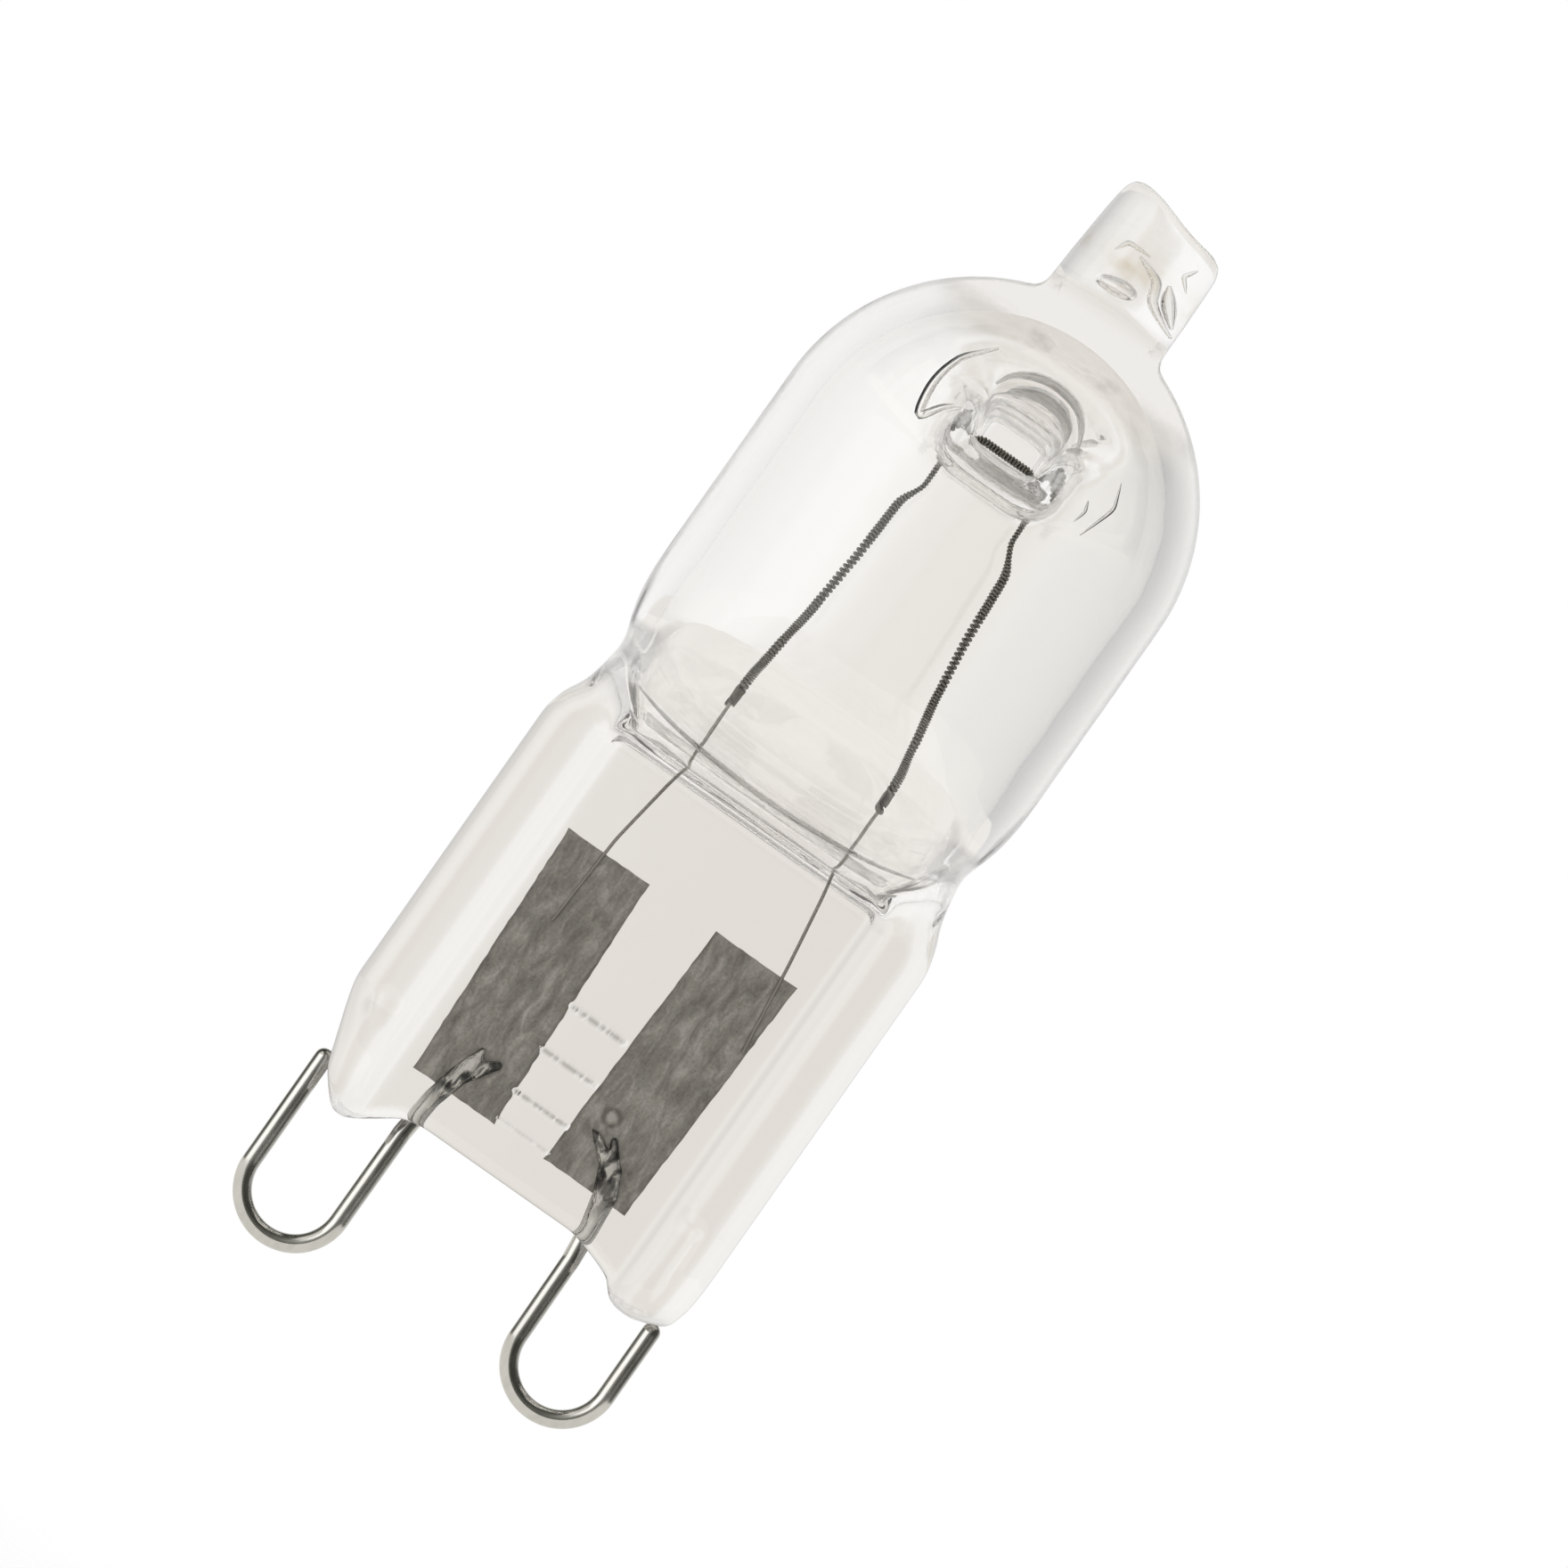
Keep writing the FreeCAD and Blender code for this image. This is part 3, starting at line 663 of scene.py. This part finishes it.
def coil_mesh():
    """Fine wire wound along the coil's path: dense legs, and opened turns in the middle of each leg."""
    step = 0.005
    axis = rounded_line(coil_corners(), step)
    s = np.arange(len(axis)) * step
    z = axis[:, 1]
    pitch = np.where((z > OPEN_TURNS[0]) & (z < OPEN_TURNS[1]), OPEN_PITCH, COIL_PITCH)
    pitch = np.convolve(np.pad(pitch, 40, mode="edge"), np.ones(81) / 81, mode="valid")
    phase = 2 * math.pi * np.cumsum(step / pitch)
    turns = int(phase[-1] / (2 * math.pi))
    want = np.linspace(phase[0], phase[-1], turns * (13))
    place = np.interp(want, phase, s)
    cx, cz = np.interp(place, s, axis[:, 0]), np.interp(place, s, axis[:, 1])
    tan = np.gradient(np.stack([cx, cz], 1), axis=0)
    tan /= np.linalg.norm(tan, axis=1)[:, None]
    # The turns are narrower where the wire bends up to the block.
    r = COIL_R - COIL_WIRE_R - 0.055 * ease(cz, 22.0, 22.7) * (1 - ease(cz, 23.6, 24.2))
    pts = np.stack([cx - tan[:, 1] * r * np.cos(want), WIRE_Y + r * np.sin(want),
                    cz + tan[:, 0] * r * np.cos(want)], 1)
    return new_mesh("coil_wire", *round_wire(pts, COIL_WIRE_R, 6))


RAMP_SPAN = 36.0       # height that the ramps over the glass cover
# Marks pressed across the pinch: height, width and strength of each.
RIBS = ((2.35, 0.08, 1.0), (3.75, 0.09, 1.0), (5.2, 0.1, 1.0), (1.45, 0.07, 0.5))
# Where the glass was worked soft, it bends light less. Each zone has its share, its rise and fall in height,
# and its rise and fall away from the axis. In turn: round the coil, the block's sides, the neck, the waist
# and the rails' feet.
AT_ANY_SIDE = ((-2.0, -1.0), (8.0, 9.0))
SOFT_ZONES = (
    (0.14, (23.3, 23.6), (26.6, 27.4), (-2.0, -1.0), (1.9, 2.5)),
    (0.5, (24.4, 24.8), (25.5, 25.8), (1.05, 1.3), (1.9, 2.2)),
    (0.12, (11.9, 12.3), (13.4, 14.6), *AT_ANY_SIDE),
    (0.5, (13.4, 13.8), (14.9, 15.3), (4.4, 4.9), (7.0, 8.0)),
    (0.4, (-4.0, -3.0), (-0.9, -0.4), *AT_ANY_SIDE),
)


def rib_marks(nt, vec, x, y, z):
    """Broken marks between the foils, on the front of the pinch; the same mask raises them and darkens the
    glass along them with painted shade.
    """
    ribs_and_shade = 0.0
    for level, width, strength in RIBS:
        ribs_and_shade = math_node(nt, "MULTIPLY_ADD", near(nt, z, level, width), strength, ribs_and_shade)
    between = ranged(nt, math_node(nt, "ABSOLUTE", math_node(nt, "ADD", x, 0.2)), 0.82, 1.0, 1.0, 0.0)
    dashes = ramp(nt, noise(nt, stretched(nt, vec, (4.0, 0.0, 1.0)), 1.3), [(0.36, 0.4), (0.5, 1.0)])
    front = math_node(nt, "LESS_THAN", y, -1.0)
    return times(nt, ribs_and_shade, between, front, dashes)


def softness(nt, x, y, z):
    """How much less the glass bends light: in the soft zones, and in the stub's middle at the bubble."""
    middle = math_node(nt, "LESS_THAN", math_node(nt, "ABSOLUTE", y), 0.6)
    eased = times(nt, band(nt, z, (30.1, 30.2), (30.9, 31.0)), 0.2, middle)
    from_axis = math_node(nt, "ABSOLUTE", x)
    for share, bottom, top, inner, outer in SOFT_ZONES:
        zone = times(nt, band(nt, z, bottom, top), share, band(nt, from_axis, inner, outer))
        eased = math_node(nt, "MAXIMUM", eased, zone)
    return eased


def glass_material():
    """Clear quartz: a little darker in the pinch, with slow waves, faint ribs with painted shade along them,
    and a tan spot in the stub.
    """
    mat, nt, out = new_material("quartz_glass")
    vec, x, y, z = object_mm(nt)
    wave = noise(nt, vec, 0.55, 2.0, 0.4)
    fine = noise(nt, vec, 2.2, 1.0, 0.4)
    worked = ramp(nt, math_node(nt, "DIVIDE", math_node(nt, "ADD", z, 2.0), RAMP_SPAN),
                  [(0.0, 0.6), (0.05, 0.2), (0.36, 0.15), (0.41, 0.4), (0.47, 0.12), (0.6, 0.06),
                   (0.84, 0.1), (0.88, 0.9)])
    ribs_and_shade = rib_marks(nt, vec, x, y, z)
    height = times(nt, wave, 0.008)
    height = math_node(nt, "MULTIPLY_ADD", times(nt, fine, worked), 0.006, height)
    height = math_node(nt, "MULTIPLY_ADD", ribs_and_shade, 0.05, height)
    bump = node(nt, "ShaderNodeBump", {"Height": height, "Strength": 1.0, "Distance": MM})
    tint = ramp(nt, math_node(nt, "DIVIDE", z, RAMP_SPAN),
                [(0.34, (0.93, 0.912, 0.885)), (0.375, (0.997, 0.992, 0.981))])
    spot = times(nt, near(nt, x, BUBBLE[0] + 0.1, 0.85), near(nt, z, BUBBLE[2] + 0.75, 0.5),
                 ramp(nt, fine, [(0.4, 0.2), (0.6, 1.0)]))
    color = blend(nt, spot, tint, (0.82, 0.76, 0.65))
    # Painted shade along the ribs: the glass colour darkens where the marks are.
    color = blend(nt, times(nt, ribs_and_shade, 0.9), color, (0.26, 0.255, 0.24))
    # Painted shade: a fine darker line where the outer surface is seen edge-on, and painted shade on the fine
    # lines, each as dark as its own share.
    edge_on = node(nt, "ShaderNodeLayerWeight", {"Blend": 0.5}).outputs["Facing"]
    rim = times(nt, ranged(nt, edge_on, 0.76, 0.92, 0.0, 0.8), attribute(nt, "outer_skin"))
    color = blend(nt, rim, color, (0.1, 0.1, 0.1))
    color = blend(nt, attribute(nt, "painted_line_shade"), color, (0.25, 0.25, 0.24))
    bsdf = node(nt, "ShaderNodeBsdfPrincipled", {
        "Base Color": color, "Roughness": 0.0, "IOR": QUARTZ_IOR, "Transmission Weight": 1.0,
        "Alpha": math_node(nt, "SUBTRACT", 1.0, softness(nt, x, y, z)), "Normal": bump.outputs[0]})
    # The stub's foot is one solid lump that shows what is straight behind it, except at its outline.
    lump = times(nt, band(nt, z, (27.5, 28.5), (29.5, 30.2)), ranged(nt, edge_on, 0.8, 0.93, 1.0, 0.0))
    straight = node(nt, "ShaderNodeBsdfTransparent", {"Color": (0.925, 0.915, 0.9, 1.0)})
    mixed = node(nt, "ShaderNodeMixShader", {0: lump, 1: bsdf.outputs[0], 2: straight.outputs[0]})
    nt.links.new(mixed.outputs[0], out.inputs["Surface"])
    return mat


def metal(name, color, rough, streak=(1, 1, 1), contrast=0.3, scale=3.0, bump=0.02, coarse_and_shaded_from=None):
    """Bare metal. Colour, roughness and height follow one grain; above a given height it turns coarse and
    darker, the darkening being painted shade.
    """
    mat, nt, out = new_material(name)
    vec, _, _, z = object_mm(nt)
    grain = noise(nt, stretched(nt, vec, streak), scale, 6.0, 0.6)
    dark = tuple(c * (1 - contrast) for c in color)
    pale = tuple(min(1.0, c * (1 + contrast * 0.8)) for c in color)
    tone = ramp(nt, grain, [(0.3, dark), (0.5, color), (0.7, pale)])
    dullness = ranged(nt, grain, 0.3, 0.7, rough * 0.75, rough * 1.25)
    height = grain
    if coarse_and_shaded_from is not None:
        # Above that height: a coarse beaten grain, and painted shade that darkens the colour.
        share = ranged(nt, z, coarse_and_shaded_from - 0.5, coarse_and_shaded_from + 0.3)
        beaten = noise(nt, stretched(nt, vec, (1, 1, 0.5)), 3.2, 3.0, distortion=0.8)
        beaten_and_shaded = ramp(nt, beaten, [(0.38, 0.04), (0.5, (0.2, 0.195, 0.18)), (0.6, (0.55, 0.54, 0.51))])
        tone = blend(nt, share, tone, beaten_and_shaded)
        height = math_node(nt, "ADD", height, times(nt, beaten, share, 45.0))
    raised = node(nt, "ShaderNodeBump", {"Height": height, "Strength": 1.0, "Distance": bump * MM})
    bsdf = node(nt, "ShaderNodeBsdfPrincipled", {
        "Base Color": tone, "Metallic": 1.0, "Roughness": dullness, "Normal": raised.outputs[0]})
    nt.links.new(bsdf.outputs[0], out.inputs["Surface"])
    return mat


WELD_RING = (1.62, 3.27)       # x and z of the ring's middle on the right foil
SCRATCH = (-2.05, 4.4)         # x and z of the scratch's bow on the left foil


def foil_material():
    """Rolled molybdenum: mottled, streaked along its length, with the photo's weld ring and scratch."""
    mat, nt, out = new_material("foil_metal")
    vec, x, _, z = object_mm(nt)
    clouds = noise(nt, stretched(nt, vec, (1.0, 1.0, 0.4)), 2.2, 5.0, 0.68, 0.5)
    lines = noise(nt, stretched(nt, vec, (1.0, 1.0, 0.12)), 7.0, 3.0, 0.6)
    mix = math_node(nt, "MULTIPLY_ADD", clouds, 0.7, times(nt, lines, 0.12))
    mix = math_node(nt, "MULTIPLY_ADD", noise(nt, vec, 11.0, 3.0), 0.18, mix)
    # The edges are darker, in a narrow band along each.
    lean = times(nt, math_node(nt, "SUBTRACT", z, FOIL_Z), FOIL_LEAN / FOIL_H)
    side = math_node(nt, "ABSOLUTE", math_node(nt, "ADD", x, FOIL_SHIFT / 2))
    across = math_node(nt, "SUBTRACT", math_node(nt, "SUBTRACT", side, FOIL_X - FOIL_SHIFT / 2), lean)
    edge = near(nt, math_node(nt, "ABSOLUTE", across), FOIL_W / 2, 0.07)
    mix = math_node(nt, "MULTIPLY_ADD", edge, -0.09, mix)
    from_ring = node(nt, "ShaderNodeCombineXYZ", {0: math_node(nt, "SUBTRACT", x, WELD_RING[0]),
                                                 1: math_node(nt, "SUBTRACT", z, WELD_RING[1])})
    reach = node(nt, "ShaderNodeVectorMath", {0: from_ring.outputs[0]}, operation="LENGTH").outputs["Value"]
    ring = math_node(nt, "SUBTRACT", near(nt, reach, 0.06, 0.07), near(nt, reach, 0.24, 0.06))
    above = math_node(nt, "SUBTRACT", z, SCRATCH[1])
    bow = math_node(nt, "MULTIPLY_ADD", times(nt, above, above), -0.5, x)
    scratch = times(nt, near(nt, bow, SCRATCH[0], 0.05), near(nt, z, SCRATCH[1] - 0.1, 0.5))
    mix = math_node(nt, "MULTIPLY_ADD", math_node(nt, "ADD", ring, scratch), 0.16, mix)
    tone = ramp(nt, mix, [(0.36, (0.27, 0.26, 0.235)), (0.5, (0.43, 0.415, 0.38)),
                          (0.64, (0.68, 0.66, 0.62))])
    raised = node(nt, "ShaderNodeBump", {"Height": mix, "Strength": 1.0, "Distance": 0.08 * MM})
    bsdf = node(nt, "ShaderNodeBsdfPrincipled", {
        "Base Color": tone, "Metallic": 0.6, "Roughness": 0.55, "Normal": raised.outputs[0]})
    nt.links.new(bsdf.outputs[0], out.inputs["Surface"])
    return mat


def add(name, mesh, material, slot=None, replaces=None):
    """Object in the scene. With a slot it is a piece of the part."""
    obj = bpy.data.objects.new(name, mesh)
    bpy.context.scene.collection.objects.link(obj)
    obj.data.materials.append(material)
    if slot:
        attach(obj, "root")
    if replaces:
        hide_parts(replaces)
    return obj


tungsten = metal("tungsten_coil", (0.2, 0.195, 0.165), 0.38, scale=6.0, contrast=0.35)
lead_metal = metal("lead_metal", (0.34, 0.33, 0.30), 0.35, streak=(1, 1, 0.15), scale=5.0)
pin_metal = metal("pin_metal", (0.66, 0.65, 0.61), 0.13, streak=(1, 1, 0.2), scale=4.0, contrast=0.1,
                  bump=0.002, coarse_and_shaded_from=1.0)
foil_metal = foil_material()

add("glass_body", glass_mesh(), glass_material(), "quartz", "glass_envelope")
add("coil_wire", coil_mesh(), tungsten, "tungsten", "filament")
for name, seed in (("foil_left", 3), ("foil_right", 8)):
    add(name + "_leaf", foil_mesh(name, seed), foil_metal, "foil", name)
for name in ("inner_lead_left", "inner_lead_right"):
    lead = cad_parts[name]
    lead.data.materials.clear()
    lead.data.materials.append(lead_metal)

# Each pin: its side, the height of its free end, its inner leg as bends (x, z, half-width, half-thickness) up
# to the fork, and the fork's two prongs.
PINS = {
    "pin_left": (-1, 0.25,
                 [(-2.98, -0.5, PIN_R, PIN_R), (-2.84, 0.8, 0.27, 0.2),
                  (-2.6, 1.75, 0.29, 0.14), (-2.38, 2.2, 0.34, 0.12)],
                 [((-2.5, 2.1, 0.2, 0.1), (-2.44, 2.7, 0.11, 0.07)),
                  ((-2.3, 2.15, 0.24, 0.12), (-1.86, 2.6, 0.14, 0.08))]),
    "pin_right": (1, -0.8,
                  [(2.98, -0.7, PIN_R, PIN_R), (2.88, 0.4, 0.29, 0.22),
                   (2.72, 1.35, 0.36, 0.14), (2.46, 1.95, 0.35, 0.12)],
                  [((2.32, 2.05, 0.22, 0.12), (1.58, 2.6, 0.13, 0.08)),
                   ((2.5, 2.1, 0.2, 0.12), (2.06, 2.76, 0.11, 0.08))]),
}
for name, shape in PINS.items():
    mesh = new_mesh(name + "_wire", *surface(*pin_field(name, *shape, PIN_STEP), PIN_STEP))
    add(name + "_wire", mesh, pin_metal, "pin_wire", name)

scene = bpy.context.scene
scene.view_settings.view_transform = "Standard"

FLOOR = 0.2                    # half-width of the floor, in metres
FLOOR_Z = -0.022
FLOOR_FADE = (0.02, 0.09)      # distance from its middle over which the floor fades out


def floor_material():
    """White near the lamp, fading out to the background."""
    mat, nt, out = new_material("pale_floor")
    place = node(nt, "ShaderNodeTexCoord").outputs["Object"]
    dist = node(nt, "ShaderNodeVectorMath", {0: place}, operation="LENGTH").outputs["Value"]
    tone = ramp(nt, noise(nt, place, 120.0, 3.0), [(0.3, 0.94), (0.7, 0.96)])
    bsdf = node(nt, "ShaderNodeBsdfPrincipled", {"Base Color": tone, "Roughness": 0.8})
    clear = node(nt, "ShaderNodeBsdfTransparent")
    fade = ranged(nt, dist, *FLOOR_FADE, kind="SMOOTHSTEP")
    hidden = math_node(nt, "MAXIMUM", fade, node(nt, "ShaderNodeLightPath").outputs["Is Glossy Ray"])
    mixed = node(nt, "ShaderNodeMixShader", {0: hidden, 1: bsdf.outputs[0], 2: clear.outputs[0]})
    nt.links.new(mixed.outputs[0], out.inputs["Surface"])
    return mat


corners = [(-FLOOR, -FLOOR, 0), (FLOOR, -FLOOR, 0), (FLOOR, FLOOR, 0), (-FLOOR, FLOOR, 0)]
floor_mesh = bpy.data.meshes.new("floor")
floor_mesh.from_pydata(corners, [], [(0, 1, 2, 3)])
floor = add("floor", floor_mesh, floor_material())
floor.location = (0, 0, FLOOR_Z)

PANEL = (-0.74, -0.67, 0.05)   # direction of the soft panel that metal mirrors


def studio():
    """World light: what glass shows, what metal mirrors, and plain white for the camera."""
    world = bpy.data.worlds.new("studio")
    world.use_nodes = True
    nt = world.node_tree
    nt.nodes.clear()
    out = nt.nodes.new("ShaderNodeOutputWorld")
    toward = node(nt, "ShaderNodeTexCoord").outputs["Generated"]
    dx, dy, dz = node(nt, "ShaderNodeSeparateXYZ", {0: toward}).outputs

    def along_ramp(value, stops):
        """Colour for a value from -1 to 1."""
        return ramp(nt, math_node(nt, "MULTIPLY_ADD", value, 0.5, 0.5), stops)

    # What glass shows: warm grey straight behind, white to the left, greyer to the right and above.
    across = along_ramp(dx, [
        (0.0, 0.7), (0.06, 0.88), (0.2, 0.97), (0.4, 1.0), (0.467, 0.98), (0.487, (0.875, 0.86, 0.84)),
        (0.5, (0.84, 0.82, 0.79)), (0.515, (0.84, 0.815, 0.78)), (0.532, (0.91, 0.90, 0.88)),
        (0.6, (0.84, 0.83, 0.81)), (0.66, (0.79, 0.78, 0.765)), (0.85, 0.62), (1.0, 0.5)])
    above = along_ramp(dz, [
        (0.0, 0.85), (0.05, 0.6), (0.14, 0.65), (0.28, 0.93), (0.4, 1.0), (0.58, 1.0), (0.72, 0.92),
        (0.86, 0.62), (1.0, 0.45)])
    around = blend(nt, 1.0, across, above, "MULTIPLY")
    # Behind the camera the room is darker, which draws the fine lines of strongly bent light.
    behind = along_ramp(dy, [
        (0.0, 0.95), (0.15, 0.9), (0.25, 0.7), (0.42, 0.72), (0.52, 0.92), (0.6, 1.0)])
    through = blend(nt, 1.0, around, behind, "MULTIPLY")
    # What metal mirrors: one soft panel at the front left, dark around it, and a paler rim behind.
    facing = node(nt, "ShaderNodeVectorMath", {0: toward, 1: PANEL}, operation="DOT_PRODUCT").outputs["Value"]
    mirror = along_ramp(facing, [
        (0.0, 0.6), (0.05, 0.4), (0.15, (0.08, 0.08, 0.07)), (0.7, (0.05, 0.05, 0.042)),
        (0.86, (0.16, 0.16, 0.145)), (0.93, (0.45, 0.45, 0.43)), (0.965, 1.4), (1.0, 1.7)])
    mirror = blend(nt, ranged(nt, dy, 0.5, 0.9), mirror, (0.9, 0.9, 0.89))
    path = node(nt, "ShaderNodeLightPath").outputs
    shown = blend(nt, path["Is Glossy Ray"], (0.80, 0.80, 0.79), mirror)
    shown = blend(nt, path["Is Transmission Ray"], shown, through)
    # Light that was mirrored inside the glass and left it unbent shows the plain tone behind the lamp.
    left = math_node(nt, "GREATER_THAN", path["Transparent Depth"], 0.5)
    shown = blend(nt, times(nt, left, path["Is Glossy Ray"]), shown, (0.86, 0.84, 0.81))
    final = blend(nt, path["Is Camera Ray"], shown, (1.0, 1.0, 1.0))
    background = node(nt, "ShaderNodeBackground", {"Color": final, "Strength": 1.0})
    nt.links.new(background.outputs[0], out.inputs["Surface"])
    return world


scene.world = studio()
LAMP_AIM = Vector((0, 0, 0.014))


def area(name, place, power, size):
    """Soft square lamp aimed at the middle of the bulb."""
    data = bpy.data.lights.new(name, "AREA")
    data.energy = power
    data.size = size
    obj = bpy.data.objects.new(name, data)
    scene.collection.objects.link(obj)
    obj.location = place
    obj.rotation_euler = (LAMP_AIM - Vector(place)).to_track_quat("-Z", "Y").to_euler()
    obj.visible_glossy = False
    obj.visible_transmission = False


area("key_left", (-0.16, -0.10, 0.10), 0.18, 0.12)
area("top_soft", (0.03, -0.02, 0.22), 0.10, 0.16)

# Camera: straight at the front from far off, turned so that the lamp leans to the right as in the photo.
DISTANCE = 0.35
SENSOR = 36.0
PICTURE = 0.04422              # width of the picture at the lamp
PICTURE_MIDDLE = Vector((0.00018, 0, 0.01374))
TURN = math.radians(35.1)
cam_data = bpy.data.cameras.new("camera")
cam = bpy.data.objects.new("camera", cam_data)
scene.collection.objects.link(cam)
cam_data.sensor_width = SENSOR
cam_data.lens = SENSOR * DISTANCE / PICTURE
cam_data.clip_start = 0.01
cam_data.clip_end = 10.0
right = Vector((math.cos(TURN), 0, math.sin(TURN)))
up = Vector((-math.sin(TURN), 0, math.cos(TURN)))
back = right.cross(up)
pose = Matrix((right, up, back)).transposed().to_4x4()
pose.translation = PICTURE_MIDDLE + back * DISTANCE
cam.matrix_world = pose
scene.camera = cam
